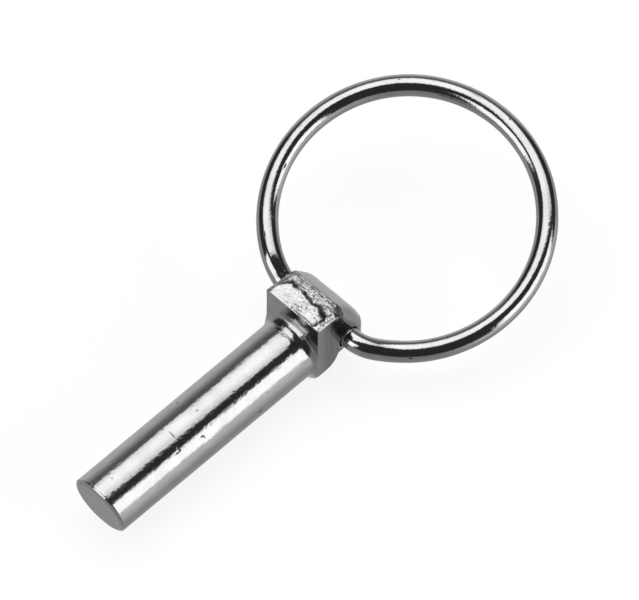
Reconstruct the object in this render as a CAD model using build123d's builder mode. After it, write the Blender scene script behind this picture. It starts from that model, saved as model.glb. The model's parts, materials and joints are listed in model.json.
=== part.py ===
from build123d import *
import math
import os

# A linch pin: a forged pin with a cross-drilled head, and a spring-wire ring that
# turns in the head's cross hole. Millimetres. The pin lies along Y with its head
# towards +Y and its free end towards -Y. The origin is on the pin's axis, where the
# parallel shank ends and the flare under the head begins. The strip left by the
# trimmed forging flash is the top of the head, facing +Z.

# Shank
shank_diameter = 11.11
grip_length = 44.45          # shoulder of the head to the free end
tip_shear_angle = 9.0        # the free end is sheared a little off square
tip_rounding = 0.7

# Head
flare_length = 1.7
collar_diameter = 13.3
collar_length = 1.8          # behind it the collar rounds over as a ball
head_width = 12.2            # across the two flats that the ring's ends enter
head_top = 10.4
strip_length = 5.7           # flash strip, measured along the pin from the shoulder
strip_wear = 0.5             # how far the strip's left edge is worn back
strip_wear_slope = 0.86
strip_wear_taper = 0.16
nose_reach = 11.2            # shoulder to the furthest point of the head
nose_height = 1.8
knee_setback = 2.45          # the back is an arc through this point, measured from the nose
knee_height = 6.9
nose_undercut = 3.2          # how far back from the nose its rounding meets the underside
keel_diameter = 12.8         # rounding of the head's underside, seen along the pin
keel_height = 1.6            # height of that rounding's centre above the pin's axis
back_rounding = 2.4          # back corners, seen from above

# Ring and cross hole
wire_diameter = 3.7
ring_mean_diameter = 45.9
hinge_reach = 7.0            # shoulder to the cross hole's axis, which runs along X
hinge_height = 1.6
ring_tilt = 13.2             # the ring as it lies, above the direction of the pin
ring_skew = 9.4              # its right side lies lower than its left, ...
ring_shift = -1.27           # ... and its centre lies a little to the left
ring_offset = 21.46          # hinge axis to the ring's centre
right_lead = 42.0            # where the wire leaves the round of the ring to turn
left_lead = 33.0             # into the hole, in degrees about the ring's centre
mouth_gap = 0.4              # straight wire outside each flat
hole_clearance = 0.2         # radial
stub_gap = 5.6               # between the wire's two cut ends, inside the hole
stub_chamfer = 0.3

shank_radius = shank_diameter / 2
collar_radius = collar_diameter / 2
wire_radius = wire_diameter / 2
ring_radius = ring_mean_diameter / 2
half_width = head_width / 2
shoulder_y = flare_length
tip_y = shoulder_y - grip_length
nose_y = shoulder_y + nose_reach
keel_bottom = keel_height - keel_diameter / 2
hinge_point = Vector(0, shoulder_y + hinge_reach, hinge_height)
outward = Vector(0, 1, 0).rotate(Axis.X, ring_tilt)
across = Vector(1, 0, 0).rotate(Axis((0, 0, 0), outward), ring_skew)
ring_centre = hinge_point + outward * ring_offset + across * ring_shift


# ---------------------------------------------------------------- forged pin
with BuildPart() as forged_pin:
    # Side view of the head.
    with BuildSketch(Plane.YZ):
        with BuildLine():
            top = Line((shoulder_y, head_top), (shoulder_y + strip_length, head_top))
            knee = (nose_y - knee_setback, knee_height)
            back = ThreePointArc(top @ 1, knee, (nose_y, nose_height))
            nose = TangentArc(back @ 1, (nose_y - nose_undercut, keel_bottom), tangent=back % 1)
            Polyline(nose @ 1, (shoulder_y, keel_bottom), top @ 0)
        make_face()
    extrude(amount=head_width, both=True)

    # View along the pin: upright sides above, a round keel below.
    with BuildSketch(Plane.XZ):
        with Locations((0, keel_height)):
            Circle(keel_diameter / 2)
            Rectangle(keel_diameter, head_top, align=(Align.CENTER, Align.MIN))
    extrude(amount=-2 * nose_y, mode=Mode.INTERSECT)

    # The strip's left edge is worn back, more towards the ring than at the shoulder.
    worn_corner = Plane(
        origin=(strip_wear - half_width, shoulder_y, head_top),
        z_dir=(-strip_wear_slope, strip_wear_slope * strip_wear_taper, 1),
    )
    split(bisect_by=worn_corner, keep=Keep.BOTTOM)

    # Shank, flare, collar and dome, all round the pin's axis.
    with BuildSketch(Plane.XY):
        with BuildLine():
            side = Line((shank_radius, tip_y - shank_radius), (shank_radius, 0))
            flare = TangentArc(side @ 1, (collar_radius, shoulder_y), tangent=side % 1)
            collar = Line(flare @ 1, (collar_radius, shoulder_y + collar_length))
            dome = CenterArc((0, shoulder_y + collar_length), collar_radius, 0, 90)
            Polyline(dome @ 1, (0, tip_y - shank_radius), side @ 0)
        make_face()
    revolve(axis=Axis.Y)

    # View from above: the two flats, with round back corners.
    with BuildSketch(Plane.XY) as plan:
        with Locations((0, nose_y)):
            Rectangle(head_width, 2 * grip_length, align=(Align.CENTER, Align.MAX))
        fillet(plan.vertices().group_by(Axis.Y)[-1], back_rounding)
    extrude(amount=head_top, both=True, mode=Mode.INTERSECT)

    # The free end, sheared off a little out of square, its edge rolled over.
    tip_plane = Plane(
        origin=(0, tip_y, 0),
        z_dir=Vector(0, -1, 0).rotate(Axis.X, tip_shear_angle),
    )
    split(bisect_by=tip_plane, keep=Keep.BOTTOM)
    tip_edge = forged_pin.edges().sort_by(Axis.Y)[0]
    fillet(tip_edge, tip_rounding)

    # Cross hole for the ring's two ends.
    with BuildSketch(Plane.YZ):
        with Locations((hinge_point.Y, hinge_point.Z)):
            Circle(wire_radius + hole_clearance)
    extrude(amount=head_width, both=True, mode=Mode.SUBTRACT)

forged_pin.part.label = "forged_pin"


# ---------------------------------------------------------------- spring ring
def on_loop(angle):
    """Point on the ring's centreline, in degrees from the side nearest to the head."""
    turn = math.radians(angle)
    return ring_centre + across * ring_radius * math.sin(turn) - outward * ring_radius * math.cos(turn)


def meeting_point(start, start_direction, end, end_direction):
    """Where two arcs meet that join one tangent line smoothly to another."""
    span = end - start
    both = start_direction + end_direction
    spread = 2 * (1 - start_direction.dot(end_direction))
    along = span.dot(both)
    reach = (math.sqrt(along**2 + spread * span.dot(span)) - along) / spread
    return (start + start_direction * reach + end - end_direction * reach) / 2


with BuildPart() as spring_ring:
    with BuildLine() as wire_path:
        inner = Vector(stub_gap / 2, 0, 0)
        mouth = Vector(half_width + mouth_gap, 0, 0)
        right_stub = Line(hinge_point + inner, hinge_point + mouth)
        loop = ThreePointArc(on_loop(right_lead), on_loop(180), on_loop(-left_lead))
        left_stub = Line(hinge_point - mouth, hinge_point - inner)
        right_meet = meeting_point(right_stub @ 1, right_stub % 1, loop @ 0, loop % 0)
        left_meet = meeting_point(loop @ 1, loop % 1, left_stub @ 0, left_stub % 0)
        right_bend = TangentArc(right_stub @ 1, right_meet, tangent=right_stub % 1)
        TangentArc(right_meet, loop @ 0, tangent=right_bend % 1)
        left_bend = TangentArc(loop @ 1, left_meet, tangent=loop % 1)
        TangentArc(left_meet, left_stub @ 0, tangent=left_bend % 1)
    wire = wire_path.wires()[0]
    with BuildSketch(Plane(origin=wire @ 0, z_dir=wire % 0)):
        Circle(wire_radius)
    sweep(path=wire)
    cut_ends = spring_ring.faces().filter_by(GeomType.PLANE)
    chamfer(cut_ends.edges(), stub_chamfer)

spring_ring.part.label = "spring_ring"

os.makedirs("parts", exist_ok=True)
export_step(forged_pin.part, "parts/forged_pin.step")
export_step(spring_ring.part, "parts/spring_ring.step")
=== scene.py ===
import json
import math

import bmesh
import bpy
import numpy as np
from mathutils import Matrix, Vector


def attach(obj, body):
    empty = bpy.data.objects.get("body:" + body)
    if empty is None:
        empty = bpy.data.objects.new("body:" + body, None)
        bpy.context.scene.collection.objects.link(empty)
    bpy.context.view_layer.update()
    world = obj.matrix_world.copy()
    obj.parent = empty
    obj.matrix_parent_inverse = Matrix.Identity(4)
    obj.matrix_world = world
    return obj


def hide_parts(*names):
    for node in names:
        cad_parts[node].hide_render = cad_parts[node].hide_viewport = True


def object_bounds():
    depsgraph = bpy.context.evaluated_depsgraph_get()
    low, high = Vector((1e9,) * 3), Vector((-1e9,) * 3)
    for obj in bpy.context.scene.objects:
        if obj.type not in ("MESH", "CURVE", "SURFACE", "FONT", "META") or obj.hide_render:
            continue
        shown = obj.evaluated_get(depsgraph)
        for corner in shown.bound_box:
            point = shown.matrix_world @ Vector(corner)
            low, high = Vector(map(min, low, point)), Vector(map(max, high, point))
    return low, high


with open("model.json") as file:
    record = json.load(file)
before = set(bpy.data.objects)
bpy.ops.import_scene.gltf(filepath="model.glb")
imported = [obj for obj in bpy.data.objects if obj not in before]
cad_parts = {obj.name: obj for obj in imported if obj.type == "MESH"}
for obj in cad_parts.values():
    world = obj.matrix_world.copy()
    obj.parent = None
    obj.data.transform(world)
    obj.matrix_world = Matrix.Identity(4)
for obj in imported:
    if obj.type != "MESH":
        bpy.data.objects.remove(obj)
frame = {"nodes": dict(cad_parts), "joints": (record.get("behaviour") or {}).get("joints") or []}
cad_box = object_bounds()

# A linch pin on a pale floor: the forged pin rides on body "pin" and the ring on body "ring".
# Lengths in the modelling code are millimetres; meshes are handed over in metres.
MM = 0.001

# ---- sizes shared with the CAD
SHANK_RADIUS = 5.555
SHOULDER_Y = 1.7
TIP_Y = SHOULDER_Y - 44.45
TIP_SHEAR = math.radians(9.0)
HALF_WIDTH = 6.1
HEAD_TOP = 10.4
WIRE_RADIUS = 1.85
HOLE_RADIUS = 2.05
RING_RADIUS = 22.95
RING_TILT = math.radians(13.2)
RING_SKEW = math.radians(9.4)
RING_SHIFT = -1.27
RING_OFFSET = 21.46
RIGHT_LEAD = math.radians(42.0)
LEFT_LEAD = math.radians(33.0)
STUB_START = 2.8
STUB_END = 6.5
STUB_CHAMFER = 0.3

BACK_ARC = ((7.4, 10.4), (10.45, 6.9), (12.9, 1.8))  # (y, z) on the back of the head

# ---- detail sizes
RIGHT_BLEND = 2.6
LEFT_BLEND = 1.4
DINGS = (
    (-23.0, 44, 0.42, 0.22, 0.06),
    (-22.7, 41, 0.20, 0.40, 0.05),
    (-27.8, 54, 0.18, 0.60, 0.06),
    (-28.3, 50, 0.30, 0.14, 0.05),
    (-26.9, 79, 0.09, 1.10, 0.02),
    (-20.8, 84, 0.26, 0.14, 0.03),
    (-21.5, 126, 0.30, 0.18, 0.03),
    (-11.3, 4, 0.55, 0.20, 0.05),
    (-39.9, 88, 0.16, 0.16, 0.03),
    (-33.5, -62, 0.40, 0.20, 0.04),
    (-8.0, 205, 0.30, 0.22, 0.04),
    (-30.0, 238, 0.60, 0.16, 0.04),
    (-17.0, 291, 0.22, 0.22, 0.03),
)

# The flash strip seen from above: x across the head, reach along the pin from the shoulder.
TEAR_X = (-6.1, -4.9, -3.9, -1.8, 0.5, 2.7, 4.2, 6.1)
TEAR_REACH = (2.7, 2.9, 3.9, 4.05, 3.7, 3.5, 2.9, 2.9)
FRAGMENT_X = 4.5             # right of this the flash is a separate fragment
WORN_X = -5.15               # left of this it is worn away
STRIP_REAR = 5.62
CRACK_DEPTH = 0.42
PARTING_DEPTH = 0.26
LEDGE_DEPTH = 0.14
WORN_DEPTH = 0.14
TORN_DEPTH = 0.11
CHIP_DEPTH = 0.12
GROOVE_DEPTH = 0.26

# Height of the waves in each surface.
FORGING_WAVE = 0.035
FORGING_RIPPLE = 0.012
DRAWING_WAVE = 0.014
DRAWING_RIPPLE = 0.004
NECK_RIPPLE = 0.016
END_RIPPLE = 0.012
WIRE_WAVE = 0.010
WIRE_RIPPLE = 0.004
WIRE_INSET = 0.014           # keeps the uneven wire within its nominal radius
NICK_DEPTH = 0.02

PIN_VOXEL = 0.17
WIRE_STEP = 0.22
WIRE_SIDES = 72


# ------------------------------------------------------------------ numpy helpers
def lattice(ix, iy, iz, seed):
    """A repeatable value from 0 to 1 for each whole-number point."""
    h = (ix * 374761393 + iy * 668265263 + iz * 2147483647 + seed * 974634777) & 0xFFFFFFFF
    h = ((h ^ (h >> 13)) * 1274126177) & 0xFFFFFFFF
    h = ((h ^ (h >> 16)) * 2246822519) & 0xFFFFFFFF
    return ((h ^ (h >> 15)) & 0xFFFFFF) / 0xFFFFFF


def noise3(p, size, seed):
    """Smooth noise from -1 to 1 at the points p (N, 3), with features of about that size."""
    q = p / np.asarray(size, float)
    cell = np.floor(q).astype(np.int64)
    t = q - cell
    t = t * t * t * (t * (t * 6 - 15) + 10)
    total = np.zeros(len(q))
    for dx in (0, 1):
        wx = t[:, 0] if dx else 1 - t[:, 0]
        for dy in (0, 1):
            wy = t[:, 1] if dy else 1 - t[:, 1]
            for dz in (0, 1):
                wz = t[:, 2] if dz else 1 - t[:, 2]
                corner = lattice(cell[:, 0] + dx, cell[:, 1] + dy, cell[:, 2] + dz, seed)
                total += wx * wy * wz * corner
    return total * 2 - 1


def fractal(p, size, seed, octaves=3):
    total, weight, scale = np.zeros(len(p)), 1.0, np.asarray(size, float)
    for k in range(octaves):
        total += weight * noise3(p, scale, seed + 17 * k)
        weight *= 0.5
        scale = scale * 0.5
    return total


def ramp(x, low, high):
    """Smooth step from 0 at low to 1 at high (which may be the smaller number)."""
    t = np.clip((x - low) / (high - low), 0, 1)
    return t * t * (3 - 2 * t)


def vertices_of(mesh):
    co = np.empty(len(mesh.vertices) * 3)
    mesh.vertices.foreach_get("co", co)
    return co.reshape(-1, 3)


def normals_of(mesh):
    n = np.empty(len(mesh.vertices) * 3)
    mesh.vertices.foreach_get("normal", n)
    return n.reshape(-1, 3)


def set_vertices(mesh, co):
    mesh.vertices.foreach_set("co", np.ascontiguousarray(co, float).ravel())
    mesh.update()


def mask_attribute(mesh, name, values):
    attribute = mesh.attributes.new(name, "FLOAT", "POINT")
    attribute.data.foreach_set("value", np.clip(values, 0, 1).astype(np.float32))


def neighbour_mean(co, edges):
    count = np.bincount(edges.ravel(), minlength=len(co)).astype(float)
    mean = np.empty_like(co)
    for axis in range(3):
        mean[:, axis] = np.bincount(edges[:, 0], co[edges[:, 1], axis], len(co))
        mean[:, axis] += np.bincount(edges[:, 1], co[edges[:, 0], axis], len(co))
    return mean / count[:, None]


def smoothed(co, edges, rounds):
    """Rounds edges a little without shrinking the whole shape (Taubin's two-step smoothing)."""
    for _ in range(rounds):
        for strength in (0.55, -0.56):
            co = co + (neighbour_mean(co, edges) - co) * strength
    return co


def finish_piece(name, mesh, body, node, material):
    obj = bpy.data.objects.new(name, mesh)
    bpy.context.scene.collection.objects.link(obj)
    mesh.materials.clear()
    mesh.materials.append(material)
    for polygon in mesh.polygons:
        polygon.use_smooth = True
    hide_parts(node)
    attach(obj, body)
    return obj


# ------------------------------------------------------------------ materials
class Nodes:
    """Short calls for building a node tree."""

    def __init__(self, tree):
        self.tree = tree
        tree.nodes.clear()

    def add(self, kind, inputs=(), **props):
        node = self.tree.nodes.new(kind)
        for key, value in props.items():
            setattr(node, key, value)
        for key, value in dict(inputs).items():
            if hasattr(value, "links"):
                self.tree.links.new(value, node.inputs[key])
            else:
                node.inputs[key].default_value = value
        return node

    def math(self, operation, a, b=0.0):
        return self.add("ShaderNodeMath", {0: a, 1: b}, operation=operation).outputs[0]

    def map(self, value, low, high, to_low=0.0, to_high=1.0):
        node = self.add(
            "ShaderNodeMapRange",
            {"Value": value, "From Min": low, "From Max": high, "To Min": to_low, "To Max": to_high},
            interpolation_type="SMOOTHSTEP",
        )
        return node.outputs["Result"]

    def attribute(self, name):
        return self.add("ShaderNodeAttribute", attribute_name=name).outputs["Fac"]

    def noise(self, vector, scale, detail=3.0, roughness=0.55):
        node = self.add(
            "ShaderNodeTexNoise",
            {"Vector": vector, "Scale": scale, "Detail": detail, "Roughness": roughness},
        )
        return node.outputs["Fac"]

    def stretched(self, vector, scale):
        node = self.add("ShaderNodeMapping", {"Vector": vector, "Scale": scale})
        return node.outputs["Vector"]

    def grey_mix(self, factor, a, b):
        node = self.add("ShaderNodeMix", {"Factor": factor, "A": a, "B": b}, data_type="FLOAT")
        return node.outputs["Result"]


def plated_steel(name, tint, relief):
    """Bright plated steel. Its masks are point attributes: raw (torn flash metal), burnish
    (rubbed flash metal), speckle (pores in it), sheared (the two flats: streaked, and darkened
    with painted shade for the shadowed floor they reflect), satin (as-forged faces), wear
    (rubbed edges), pit (dark dings and nicks, plus painted shade in the crack, parting line,
    ledge and groove)."""
    material = bpy.data.materials.new(name)
    material.use_nodes = True
    n = Nodes(material.node_tree)
    where = n.add("ShaderNodeTexCoord").outputs["Object"]
    raw, burnish, satin = n.attribute("raw"), n.attribute("burnish"), n.attribute("satin")
    wear, pit_and_shade = n.attribute("wear"), n.attribute("pit_and_shade")
    speckle, sheared_and_shade = n.attribute("speckle"), n.attribute("sheared_and_shade")

    grain = n.noise(where, 3000.0, detail=2.0, roughness=0.6)
    streaks = n.noise(n.stretched(where, (900.0, 2600.0, 130.0)), 1.0, detail=3.0)
    cloud = n.noise(where, 260.0, detail=3.0)
    ripple = n.stretched(where, (2000.0, 1300.0, 2000.0))
    mottle = n.noise(ripple, 1.0, detail=1.5, roughness=0.5)
    lines = n.noise(n.stretched(where, (2200.0, 90.0, 2200.0)), 1.0, detail=2.0)
    broken = n.stretched(where, (1500.0, 2400.0, 2000.0))
    crumbs = n.noise(broken, 1.0, detail=3.0, roughness=0.65)
    patches = n.math("MULTIPLY", n.noise(where, 620.0), 0.6)
    specks = n.math("SUBTRACT", n.noise(where, 3300.0, detail=2.0), patches)

    # reflectance
    shade = n.map(cloud, 0.3, 0.7, tint * 0.93, tint * 1.04)
    shade = n.grey_mix(satin, shade, n.map(cloud, 0.3, 0.7, tint * 0.88, tint * 0.97))
    # The flats: streaked, and darker than the rest. The darkening is painted shade standing in for the
    # shadowed floor that they reflect.
    shade = n.grey_mix(sheared_and_shade, shade, n.map(streaks, 0.3, 0.7, tint * 0.54, tint * 0.66))
    shade = n.grey_mix(burnish, shade, tint * 1.12)
    shade = n.grey_mix(speckle, shade, n.map(specks, 0.21, 0.29, tint * 1.14, tint * 0.36))
    shade = n.grey_mix(raw, shade, n.map(crumbs, 0.40, 0.54, tint * 0.4, tint * 1.3))
    # Near-black for the pit mask: dark dings and nicks, and painted shade in the crack, the parting
    # line, the ledge and the groove behind the strip.
    shade = n.grey_mix(pit_and_shade, shade, tint * 0.09)
    shade = n.grey_mix(n.math("MULTIPLY", wear, 0.6), shade, tint * 1.2)
    blue = n.math("MULTIPLY", shade, 1.015)
    colour = n.add("ShaderNodeCombineColor", {"Red": shade, "Green": shade, "Blue": blue})

    # roughness
    rough = n.map(grain, 0.25, 0.75, 0.07, 0.13)
    rough = n.math("ADD", rough, n.map(lines, 0.5, 0.8, 0.0, 0.05))
    rough = n.grey_mix(satin, rough, n.map(grain, 0.25, 0.75, 0.13, 0.21))
    rough = n.grey_mix(sheared_and_shade, rough, n.map(streaks, 0.3, 0.7, 0.12, 0.17))
    rough = n.grey_mix(burnish, rough, n.map(crumbs, 0.35, 0.6, 0.32, 0.2))
    rough = n.grey_mix(raw, rough, n.map(crumbs, 0.3, 0.65, 0.45, 0.3))
    rough = n.grey_mix(pit_and_shade, rough, 0.5)

    # relief
    fine = n.math("MULTIPLY", n.math("ADD", grain, lines), 0.008)
    height = n.math("ADD", n.math("MULTIPLY", mottle, relief), fine)
    forged = n.math("ADD", grain, n.math("MULTIPLY", mottle, 4.0))
    height = n.grey_mix(satin, height, n.math("MULTIPLY", forged, 0.006))
    height = n.grey_mix(sheared_and_shade, height, n.math("MULTIPLY", n.math("ADD", streaks, grain), 0.0035))
    height = n.grey_mix(burnish, height, n.math("MULTIPLY", crumbs, 0.03))
    height = n.grey_mix(raw, height, n.math("MULTIPLY", crumbs, 0.15))
    bump = n.add("ShaderNodeBump", {"Strength": 1.0, "Distance": MM, "Height": height})

    shader = n.add(
        "ShaderNodeBsdfPrincipled",
        {
            "Base Color": colour.outputs[0],
            "Metallic": 1.0,
            "Roughness": rough,
            "Normal": bump.outputs["Normal"],
        },
    )
    n.add("ShaderNodeOutputMaterial", {"Surface": shader.outputs[0]})
    return material


pin_plating = plated_steel("pin_plating", 0.57, 0.026)
wire_plating = plated_steel("wire_plating", 0.58, 0.010)

# ------------------------------------------------------------------ forged pin
hinge = Vector(frame["joints"][0]["pos_m"]) / MM


def pin_skin():
    """The CAD pin as an even skin of small faces, in millimetres."""
    source = frame["nodes"]["forged_pin"].data.copy()
    work = bmesh.new()
    work.from_mesh(source)
    bmesh.ops.remove_doubles(work, verts=work.verts, dist=1e-7)
    bmesh.ops.scale(work, verts=work.verts, vec=(1 / MM,) * 3)
    work.to_mesh(source)
    work.free()
    holder = bpy.data.objects.new("skin_source", source)
    bpy.context.scene.collection.objects.link(holder)
    modifier = holder.modifiers.new("skin", "REMESH")
    modifier.mode = "VOXEL"
    modifier.voxel_size = PIN_VOXEL
    mesh = bpy.data.meshes.new_from_object(holder.evaluated_get(bpy.context.evaluated_depsgraph_get()))
    bpy.data.objects.remove(holder)
    return mesh


def true_to_round(co):
    """Puts the points of the shank and the cross hole exactly on their radii."""
    radius = np.hypot(co[:, 0], co[:, 2])
    off = np.abs(radius - SHANK_RADIUS)
    hold = ramp(off, 0.14, 0.06) * ramp(co[:, 1], 0.25, -0.1)
    scale = 1 + hold * (SHANK_RADIUS / radius - 1)
    co[:, 0] *= scale
    co[:, 2] *= scale
    dy, dz = co[:, 1] - hinge.y, co[:, 2] - hinge.z
    radius = np.hypot(dy, dz)
    hold = ramp(np.abs(radius - HOLE_RADIUS), 0.14, 0.06)
    hold *= ramp(np.abs(co[:, 0]), HALF_WIDTH - 0.1, HALF_WIDTH - 0.4)
    scale = 1 + hold * (HOLE_RADIUS / np.maximum(radius, 1e-6) - 1)
    co[:, 1] = hinge.y + dy * scale
    co[:, 2] = hinge.z + dz * scale
    return co


def circle_through(a, b, c):
    """Centre and radius of the circle through three points of a plane."""
    ab, ac = b - a, c - a
    system = np.array([ab, ac]) * 2
    centre = a + np.linalg.solve(system, [ab.dot(ab), ac.dot(ac)])
    return centre, np.hypot(*(a - centre))


def blend_back_corner(co, side, blend):
    """Rounds the edge between the flat on that side and the curved back of the head."""
    centre, back_radius = circle_through(*(np.array(p) for p in BACK_ARC))
    dy, dz = co[:, 1] - centre[0], co[:, 2] - centre[1]
    far = np.hypot(dy, dz)
    from_flat = np.maximum(side * co[:, 0] - HALF_WIDTH + blend, 0)
    from_back = np.maximum(far - back_radius + blend, 0)
    both = np.hypot(from_flat, from_back)
    excess = np.maximum(both - blend, 0) * ramp(co[:, 1], 7.0, 9.0) * ramp(co[:, 2], 0.5, 3.5)
    share = excess / np.maximum(both, 1e-6)
    co = co.copy()
    co[:, 0] -= side * share * from_flat
    co[:, 1] -= share * from_back * dy / far
    co[:, 2] -= share * from_back * dz / far
    return co


def slope_top_corner(co):
    """Cuts the top's corner by the right flat and the back down to a slope."""
    past = 0.585 * (co[:, 0] - 4.2) + 0.81 * (co[:, 1] - SHOULDER_Y - 5.2)
    limit = HEAD_TOP - 0.8 * np.maximum(past, 0)
    co = co.copy()
    co[:, 2] = np.minimum(co[:, 2], limit)
    return co


pin_mesh = pin_skin()
edges = np.empty(len(pin_mesh.edges) * 2, np.int64)
pin_mesh.edges.foreach_get("vertices", edges)
edges = edges.reshape(-1, 2)
co = true_to_round(vertices_of(pin_mesh))
co = blend_back_corner(co, 1, RIGHT_BLEND)
co = blend_back_corner(co, -1, LEFT_BLEND)
co = slope_top_corner(co)
co = true_to_round(smoothed(co, edges, 8))
set_vertices(pin_mesh, co)
normal = normals_of(pin_mesh)

x, reach, z = co[:, 0], co[:, 1] - SHOULDER_Y, co[:, 2]
radius = np.hypot(x, z)
tip_side = (co[:, 1] - TIP_Y) * math.cos(TIP_SHEAR) + z * math.sin(TIP_SHEAR)
on_head = ramp(co[:, 1], 0.2, 1.2)
on_wall = ramp(np.abs(radius - SHANK_RADIUS), 0.3, 0.1) * (1 - on_head)
on_end = ramp(tip_side, 0.5, 0.1) * (1 - on_head)
on_top = ramp(z, HEAD_TOP - 0.6, HEAD_TOP - 0.15) * ramp(normal[:, 2], 0.5, 0.85) * on_head
from_hinge = np.hypot(co[:, 1] - hinge.y, z - hinge.z)
in_hole = ramp(from_hinge, HOLE_RADIUS + 0.25, HOLE_RADIUS + 0.05) * on_head

# The flash strip's zones: how deep each point lies in every one of them, from 0 to 1.
from_above = co * (1, 1, 0)
wander = fractal(from_above, 1.3, 5) + 0.5 * noise3(from_above, 0.5, 7)
tear = reach - np.interp(x, TEAR_X, TEAR_REACH) - 0.22 * wander
split_off = x - FRAGMENT_X - 0.22 * wander - 0.12 * (reach - 1.5)
worn_end = x - WORN_X + 0.2 * wander
strip_back = reach - STRIP_REAR + 0.05 * wander

crack_width = 0.19 + 0.08 * noise3(from_above, 1.1, 9)
crack_width += 0.3 * ramp(x, 2.6, 4.0) + 0.12 * ramp(x, -2.4, -3.4)
crack = np.exp(-((tear / crack_width) ** 2)) * ramp(split_off, 0.3, -0.3) * ramp(worn_end, -0.2, 0.4)
parting = np.exp(-((split_off / 0.13) ** 2)) * ramp(tear, 0.3, 0.0)
ledge = np.exp(-(((reach - 0.4 - 0.08 * wander) / 0.1) ** 2)) * ramp(x, -1.0, 1.5) * ramp(x, 4.6, 4.2)
front = ramp(tear, 0.05, -0.15) * ramp(worn_end, -0.15, 0.15)
torn = ramp(tear, 0.0, 0.2) * ramp(split_off, 0.15, -0.15)
left_end = ramp(worn_end, 0.1, -0.2)
groove = np.exp(-(((strip_back - 0.1) / 0.12) ** 2)) * ramp(np.abs(x + 0.2), 4.7, 4.2)

ragged = fractal(co * (0, 1, 1), 0.8, 19, 2) + ramp(reach, 1.0, 3.5)
chipped = ramp(x, 5.45, 5.8) * ramp(ragged, 0.0, 0.5)
crumble = fractal(co, 0.8, 11, 3)
ridges = 1 - np.abs(fractal(co, (1.4, 0.5, 0.9), 23, 2))
speck = ramp(noise3(co, 0.42, 31), 0.45, 0.75)

sink = on_top * (
    CRACK_DEPTH * crack
    + PARTING_DEPTH * parting
    + LEDGE_DEPTH * ledge
    + torn * (TORN_DEPTH + 0.07 * crumble + 0.07 * ridges)
    + left_end * (WORN_DEPTH + 0.05 * crumble)
    + front * (0.02 + 0.012 * speck + 0.012 * np.abs(crumble))
    + chipped * (CHIP_DEPTH + 0.1 * crumble)
)
near_top = on_head * ramp(z, HEAD_TOP - 1.4, HEAD_TOP - 0.9)
sink += GROOVE_DEPTH * groove * near_top

# Forging waves on the head, faint drawing waves on the shank, and a sheared grain on the end.
forging = FORGING_WAVE * fractal(co, 3.6, 41, 2) + FORGING_RIPPLE * fractal(co, 1.1, 43, 2)
sink += on_head * (1 - in_hole) * forging
drawing = DRAWING_WAVE * noise3(co, (3.0, 7.0, 3.0), 51)
drawing += DRAWING_RIPPLE * fractal(co, (1.1, 1.9, 1.1), 53, 2)
sink += on_wall * drawing
on_neck = ramp(co[:, 1], -3.5, -0.5) * ramp(co[:, 1], 1.6, 0.6)
sink += NECK_RIPPLE * on_neck * fractal(co, 1.0, 57, 2)
sink += END_RIPPLE * on_end * fractal(co, 1.6, 61, 2)

# Small dings: place along the pin, degrees round it from +X towards +Z, length, width, depth.
pit_and_shade = np.zeros(len(co))
around = np.degrees(np.arctan2(z, x))
for place, turn, long, wide, depth in DINGS:
    along = (co[:, 1] - place) / long
    sideways = np.radians((around - turn + 180) % 360 - 180) * SHANK_RADIUS / wide
    hollow = np.exp(-(along**2 + sideways**2)) * ramp(np.abs(radius - SHANK_RADIUS), 1.0, 0.5)
    sink += depth * hollow
    pit_and_shade = np.maximum(pit_and_shade, ramp(hollow, 0.35, 0.8))
# The crack, parting line, ledge and groove get painted shade through the pit mask. The worn left end is
# made a little darker too.
split = ramp(np.maximum(crack, parting), 0.15, 0.5)
pit_and_shade = np.maximum(pit_and_shade, on_top * (split + 0.3 * left_end + 0.5 * ledge))
pit_and_shade = np.maximum(pit_and_shade, 0.9 * ramp(groove, 0.4, 0.8) * near_top)

bulge = np.einsum("ij,ij->i", co - neighbour_mean(co, edges), normal)
wear = ramp(bulge, 0.006, 0.02)

co = co - normal * sink[:, None]
set_vertices(pin_mesh, co * MM)
raw = np.maximum.reduce([torn, 0.9 * left_end, crack, parting, chipped])
fragment = ramp(split_off, 0.0, 0.2)
burnish = np.maximum(front, fragment) * (1 - crack) * (1 - parting)
speckle = np.maximum(front * ramp(x, -3.8, -0.8), fragment)
# The flats' mask: their streaked finish plus painted shade for the shadowed floor they reflect.
flats = on_head * ramp(np.abs(normal[:, 0]), 0.9, 0.98) * ramp(reach, -0.6, 2.6)
mask_attribute(pin_mesh, "raw", on_top * raw)
mask_attribute(pin_mesh, "burnish", on_top * burnish)
mask_attribute(pin_mesh, "speckle", on_top * speckle)
mask_attribute(pin_mesh, "sheared_and_shade", flats * (1 - on_top) * (1 - in_hole))
mask_attribute(pin_mesh, "satin", np.maximum(on_head, 0.5 * on_end))
mask_attribute(pin_mesh, "wear", wear * (1 - in_hole))
mask_attribute(pin_mesh, "pit_and_shade", pit_and_shade)
pin_mesh.name = "linch_pin_forging"
finish_piece("linch_pin_forging", pin_mesh, "pin", "forged_pin", pin_plating)

# ------------------------------------------------------------------ spring ring
outward = Matrix.Rotation(RING_TILT, 3, "X") @ Vector((0, 1, 0))
across = Matrix.Rotation(RING_SKEW, 3, outward) @ Vector((1, 0, 0))
ring_centre = hinge + outward * RING_OFFSET + across * RING_SHIFT


def on_loop(turn):
    """Point on the ring's centreline, and its direction, turning from the side nearest the head."""
    return (
        ring_centre + across * RING_RADIUS * math.sin(turn) - outward * RING_RADIUS * math.cos(turn),
        across * math.cos(turn) + outward * math.sin(turn),
    )


def meeting_point(start, start_direction, end, end_direction):
    """Where two arcs meet that join one tangent line smoothly to another."""
    span = end - start
    both = start_direction + end_direction
    spread = 2 * (1 - start_direction.dot(end_direction))
    along = span.dot(both)
    reach = (math.sqrt(along**2 + spread * span.dot(span)) - along) / spread
    return (start + start_direction * reach + end - end_direction * reach) / 2


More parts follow.
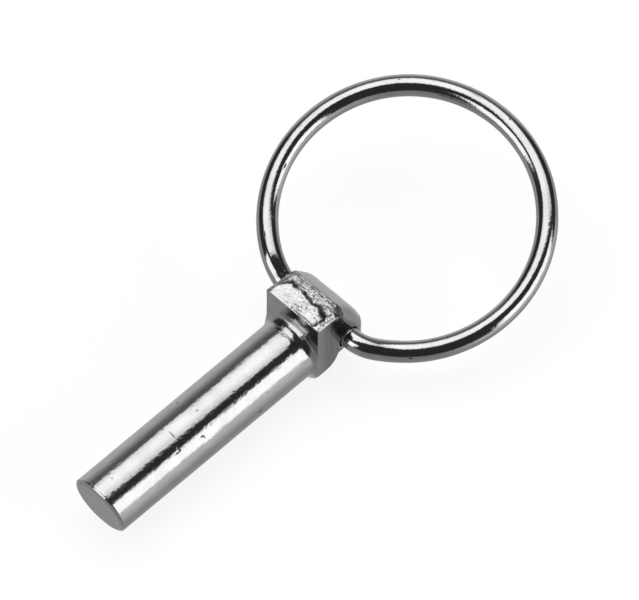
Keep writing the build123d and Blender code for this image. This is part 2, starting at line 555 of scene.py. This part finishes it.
def line_points(start, end):
    steps = max(2, round((end - start).length / WIRE_STEP))
    return [start.lerp(end, k / steps) for k in range(steps)], (end - start).normalized()


def arc_points(start, direction, end):
    """Points from start up to, but without, end, on the arc that leaves start in that direction."""
    chord = end - start
    side = chord - direction * chord.dot(direction)
    side.normalize()
    half = math.atan2(chord.dot(side), chord.dot(direction))
    radius = chord.length / (2 * math.sin(half))
    steps = max(3, round(2 * half * radius / WIRE_STEP))
    points = []
    for k in range(steps):
        turn = 2 * half * k / steps
        points.append(start + direction * radius * math.sin(turn) + side * radius * (1 - math.cos(turn)))
    return points, direction * math.cos(2 * half) + side * math.sin(2 * half)


right_in = hinge + Vector((STUB_START, 0, 0))
right_out = hinge + Vector((STUB_END, 0, 0))
left_in = hinge - Vector((STUB_START, 0, 0))
left_out = hinge - Vector((STUB_END, 0, 0))
loop_start, loop_start_direction = on_loop(RIGHT_LEAD)
loop_end, loop_end_direction = on_loop(2 * math.pi - LEFT_LEAD)
east = Vector((1, 0, 0))
right_meet = meeting_point(right_out, east, loop_start, loop_start_direction)
left_meet = meeting_point(loop_end, loop_end_direction, left_out, east)

centreline, _ = line_points(right_in, right_out)
points, heading = arc_points(right_out, east, right_meet)
centreline += points
centreline += arc_points(right_meet, heading, loop_start)[0]
loop_turn = 2 * math.pi - LEFT_LEAD - RIGHT_LEAD
loop_steps = round(loop_turn * RING_RADIUS / WIRE_STEP)
centreline += [on_loop(RIGHT_LEAD + loop_turn * k / loop_steps)[0] for k in range(loop_steps)]
points, heading = arc_points(loop_end, loop_end_direction, left_meet)
centreline += points
centreline += arc_points(left_meet, heading, left_out)[0]
centreline += line_points(left_out, left_in)[0] + [left_in]

path = np.array([tuple(p) for p in centreline])
tangent = np.gradient(path, axis=0)
tangent[0], tangent[-1] = path[1] - path[0], path[-1] - path[-2]
tangent /= np.linalg.norm(tangent, axis=1)[:, None]
steps = np.linalg.norm(np.diff(path, axis=0), axis=1)
length = np.concatenate([[0.0], np.cumsum(steps)])
side = np.empty_like(path)
side[0] = (0, 0, 1)
for k in range(1, len(path)):
    carried = side[k - 1] - tangent[k] * side[k - 1].dot(tangent[k])
    side[k] = carried / np.linalg.norm(carried)
other = np.cross(tangent, side)

angle = np.arange(WIRE_SIDES) * 2 * math.pi / WIRE_SIDES
outward_rows = np.cos(angle)[None, :, None] * side[:, None, :]
outward_rows = outward_rows + np.sin(angle)[None, :, None] * other[:, None, :]
flat_rows = np.stack(
    [
        np.repeat(np.cos(angle)[None, :] * WIRE_RADIUS, len(path), 0),
        np.repeat(length[:, None], WIRE_SIDES, 1),
        np.repeat(np.sin(angle)[None, :] * WIRE_RADIUS, len(path), 0),
    ],
    -1,
).reshape(-1, 3)
wobble = WIRE_WAVE * noise3(flat_rows, (2.0, 7.0, 2.0), 81)
wobble += WIRE_RIPPLE * noise3(flat_rows, (0.9, 2.2, 0.9), 83)
nick = ramp(noise3(flat_rows, (0.8, 1.4, 0.8), 87), 0.93, 0.98)
wire_radius = WIRE_RADIUS - WIRE_INSET + wobble - NICK_DEPTH * nick
wire_radius = wire_radius.reshape(len(path), WIRE_SIDES)
rows = path[:, None, :] + outward_rows * wire_radius[:, :, None]

# The cut ends: a small chamfer, then a flat face closed with smaller circles.
CAP_INSETS = (STUB_CHAMFER, 0.9, 1.4)
first = [path[0] + outward_rows[0] * (WIRE_RADIUS - inset) for inset in reversed(CAP_INSETS)]
last = [path[-1] + outward_rows[-1] * (WIRE_RADIUS - inset) for inset in CAP_INSETS]
all_rows = np.concatenate([np.stack(first), rows[2:-2], np.stack(last)])
row_count = len(all_rows)
wire_vertices = np.concatenate([all_rows.reshape(-1, 3), path[:1], path[-1:]])
faces = []
for r in range(row_count - 1):
    here, there = r * WIRE_SIDES, (r + 1) * WIRE_SIDES
    for s in range(WIRE_SIDES):
        t = (s + 1) % WIRE_SIDES
        faces.append((here + s, here + t, there + t, there + s))
start_hub, end_hub = row_count * WIRE_SIDES, row_count * WIRE_SIDES + 1
for s in range(WIRE_SIDES):
    t = (s + 1) % WIRE_SIDES
    faces.append((start_hub, t, s))
    faces.append((end_hub, (row_count - 1) * WIRE_SIDES + s, (row_count - 1) * WIRE_SIDES + t))
wire_mesh = bpy.data.meshes.new("spring_ring_wire")
wire_mesh.from_pydata((wire_vertices * MM).tolist(), [], faces)
wire_mesh.update()
quiet = np.zeros(len(wire_vertices))
nick_rows = np.zeros((row_count, WIRE_SIDES))
nick_rows[3:-3] = nick.reshape(len(path), WIRE_SIDES)[2:-2]
mask_attribute(wire_mesh, "pit_and_shade", np.concatenate([nick_rows.ravel(), [0, 0]]))
for name in ("raw", "burnish", "speckle", "sheared_and_shade", "satin", "wear"):
    mask_attribute(wire_mesh, name, quiet)
finish_piece("spring_ring_wire", wire_mesh, "ring", "spring_ring", wire_plating)

# ------------------------------------------------------------------ floor
low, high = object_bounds()
floor_mesh = bpy.data.meshes.new("floor")
half_floor = 2.0
floor_mesh.from_pydata(
    [(sx * half_floor, sy * half_floor, low.z) for sx, sy in ((-1, -1), (1, -1), (1, 1), (-1, 1))],
    [],
    [(0, 1, 2, 3)],
)
floor = bpy.data.objects.new("floor", floor_mesh)
bpy.context.scene.collection.objects.link(floor)
floor_material = bpy.data.materials.new("floor")
floor_material.use_nodes = True
n = Nodes(floor_material.node_tree)
diffuse = n.add("ShaderNodeBsdfDiffuse", {"Color": (0.28, 0.28, 0.28, 1.0)})
lift = n.add("ShaderNodeEmission", {"Color": (1, 1, 1, 1), "Strength": 0.85})
sheet = n.add("ShaderNodeAddShader", {0: diffuse.outputs[0], 1: lift.outputs[0]})
n.add("ShaderNodeOutputMaterial", {"Surface": sheet.outputs[0]})
floor_mesh.materials.append(floor_material)
floor.visible_glossy = False

# ------------------------------------------------------------------ studio light
# A light tent with a dark camera side: a large soft panel overhead and two upright soft
# panels, one past the free end and one past the right flat, all as directions in the world.
world = bpy.data.worlds.new("studio")
bpy.context.scene.world = world
world.use_nodes = True
n = Nodes(world.node_tree)
direction = n.add("ShaderNodeTexCoord").outputs["Generated"]
parts = n.add("ShaderNodeSeparateXYZ", {"Vector": direction})
dir_x, dir_y, dir_z = parts.outputs[0], parts.outputs[1], parts.outputs[2]
azimuth = n.math("MULTIPLY", n.math("ARCTAN2", dir_y, dir_x), 180 / math.pi)
height = n.math("MULTIPLY", n.math("ARCSINE", dir_z), 180 / math.pi)


def band(value, low_edge, high_edge, blur):
    """1 between the two edges, fading to 0 over the blur on each side."""
    rise = n.map(value, low_edge - blur, low_edge + blur)
    fall = n.map(value, high_edge - blur, high_edge + blur, 1.0, 0.0)
    return n.math("MULTIPLY", rise, fall)


def product(first, *others):
    for other in others:
        first = n.math("MULTIPLY", first, other)
    return first


def total(first, *others):
    for other in others:
        first = n.math("ADD", first, other)
    return first


# The overhead panel is laid out on a level plane; its edge on the camera's side is slanted.
up = n.math("MAXIMUM", dir_z, 0.02)
over_x = n.math("DIVIDE", dir_x, up)
over_y = n.math("DIVIDE", dir_y, up)
slant = n.math("SUBTRACT", over_x, product(over_y, 0.5))
overhead = product(
    band(over_x, -0.91, 2.0, 0.07),
    band(slant, -3.0, 0.12, 0.06),
    band(over_y, -0.52, 3.0, 0.08),
    n.map(over_y, 0.52, 0.92, 1.0, 0.0),
    total(product(band(over_x, -0.66, 0.12, 0.22), 0.42), 1.03),
)

# The two upright panels; the front one leans. Angles from here on are in degrees.
right_panel = product(band(azimuth, -1, 47, 4.0), band(height, -0.3, 36, 4.0), 1.68)
leaning = total(azimuth, product(n.math("SUBTRACT", 25, height), 0.4))
front_panel = product(
    band(azimuth, -124, 0, 3.5),
    band(leaning, -150, -80, 3.5),
    band(height, -1, 40, 3.5),
    1.62,
)

# A dim far wall, and the table top with the light that falls on it.
far_wall = product(
    band(azimuth, 98, 174, 9),
    n.map(height, 2, 30, 0.43, 0.11),
    n.map(height, -6, 4, 0.35, 1.0),
)
ground_tilt = product(n.math("SUBTRACT", dir_y, dir_x), 0.06)
ground = product(n.map(height, -7, 6, 1.0, 0.0), total(ground_tilt, 0.33))
pool = product(
    band(azimuth, -14, 60, 20),
    n.map(height, -52, -5, 0.0, 0.44),
    n.map(height, -5, 3, 1.0, 0.0),
)

radiance = total(overhead, right_panel, front_panel, far_wall, ground, pool, 0.033)
studio = n.add("ShaderNodeBackground", {"Color": (1, 1, 1, 1), "Strength": radiance})
pale = n.add("ShaderNodeBackground", {"Color": (1, 1, 1, 1), "Strength": 0.95})
seen = n.add("ShaderNodeLightPath").outputs["Is Camera Ray"]
mixed = n.add("ShaderNodeMixShader", {0: seen, 1: studio.outputs[0], 2: pale.outputs[0]})
n.add("ShaderNodeOutputWorld", {"Surface": mixed.outputs[0]})

# ------------------------------------------------------------------ camera
CAMERA_AZIMUTH = math.radians(45.0)
CAMERA_ELEVATION = math.radians(56.3)
CAMERA_DISTANCE = 3.0
VIEW_WIDTH = 0.1044
FRAMING_RIGHT = 0.0029
FRAMING_UP = 0.0024
back = Vector(
    (
        math.sin(CAMERA_AZIMUTH) * math.cos(CAMERA_ELEVATION),
        -math.cos(CAMERA_AZIMUTH) * math.cos(CAMERA_ELEVATION),
        math.sin(CAMERA_ELEVATION),
    )
)
camera_data = bpy.data.cameras.new("camera")
camera = bpy.data.objects.new("camera", camera_data)
bpy.context.scene.collection.objects.link(camera)
camera.rotation_mode = "QUATERNION"
camera.rotation_quaternion = (-back).to_track_quat("-Z", "Y")
right = camera.rotation_quaternion @ Vector((1, 0, 0))
above = camera.rotation_quaternion @ Vector((0, 1, 0))
aim = (cad_box[0] + cad_box[1]) / 2 + right * FRAMING_RIGHT + above * FRAMING_UP
camera.location = aim + back * CAMERA_DISTANCE
camera_data.lens = camera_data.sensor_width * CAMERA_DISTANCE / VIEW_WIDTH
camera_data.clip_start = 0.1
camera_data.clip_end = 20.0
bpy.context.scene.camera = camera
bpy.context.scene.view_settings.view_transform = "Standard"
